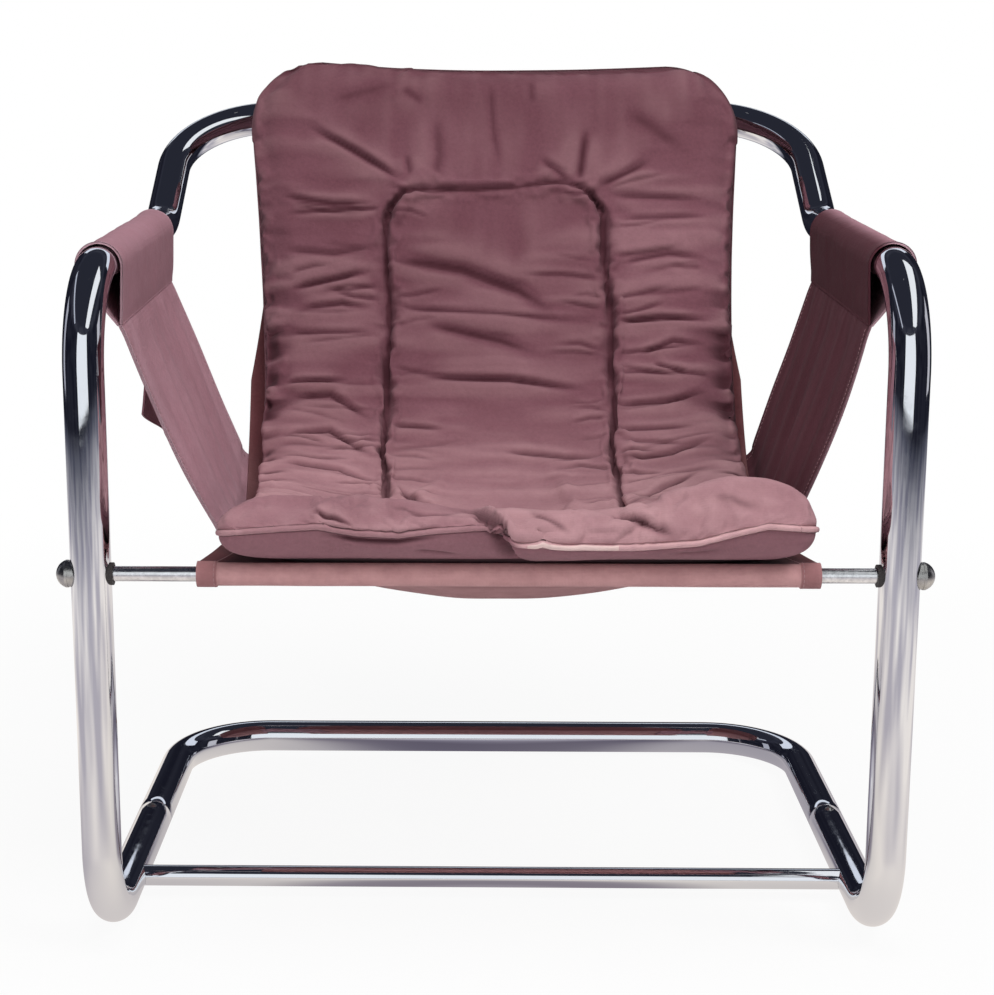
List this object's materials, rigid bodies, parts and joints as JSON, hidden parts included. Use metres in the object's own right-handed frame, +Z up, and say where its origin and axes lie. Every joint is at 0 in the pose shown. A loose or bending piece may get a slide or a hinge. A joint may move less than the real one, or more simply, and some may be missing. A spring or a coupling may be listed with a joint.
{
  "type": "cantilever lounge chair",
  "caption": "Cantilever lounge chair: a bent chrome tube frame with a canvas sling, canvas sleeves round its arms, and a loose quilted pad that lifts off the sling.",
  "frame": {"origin": "on the floor, at the middle of the chair's width and overall depth", "axes": "+Z up; -Y the way the sitter faces; +X across, to the right of someone who looks at the chair's front"},
  "size_m": [0.689, 0.6272, 0.7187],
  "materials": {
    "chrome_tube": "polished chrome plate on steel tube",
    "spigot_steel": "turned steel",
    "fastener_steel": "satin plated steel",
    "glide_plastic": "moulded nylon",
    "grommet_rubber": "moulded rubber",
    "sling_canvas": "washed cotton canvas, doubled",
    "strap_canvas": "washed cotton canvas, doubled",
    "pad_canvas": "washed cotton canvas, quilted",
    "filling": "cotton batting"
  },
  "bodies": {
    "frame": {"upper_frame_tube": "chrome_tube", "rear_base_tube": "chrome_tube", "joint_spigot_left": "spigot_steel", "joint_spigot_right": "spigot_steel", "joint_screws": "fastener_steel", "floor_stretcher": "chrome_tube", "floor_glide_front_left": "glide_plastic", "floor_glide_front_right": "glide_plastic", "floor_glide_rear_left": "glide_plastic", "floor_glide_rear_right": "glide_plastic", "seat_rod": "fastener_steel", "rod_grommets": "grommet_rubber", "saddle_washers": "fastener_steel", "rod_cap_nuts": "fastener_steel", "sling": "sling_canvas", "side_strap_left": "strap_canvas", "side_strap_right": "strap_canvas"},
    "pad": {"pad_cover": "pad_canvas", "pad_filling": "filling"}
  },
  "joints": [
    {"name": "pad_lift", "type": "slide", "parent": "frame", "child": "pad", "axis": [0, 0, 1], "range_m": [0, 0.15]}
  ]
}
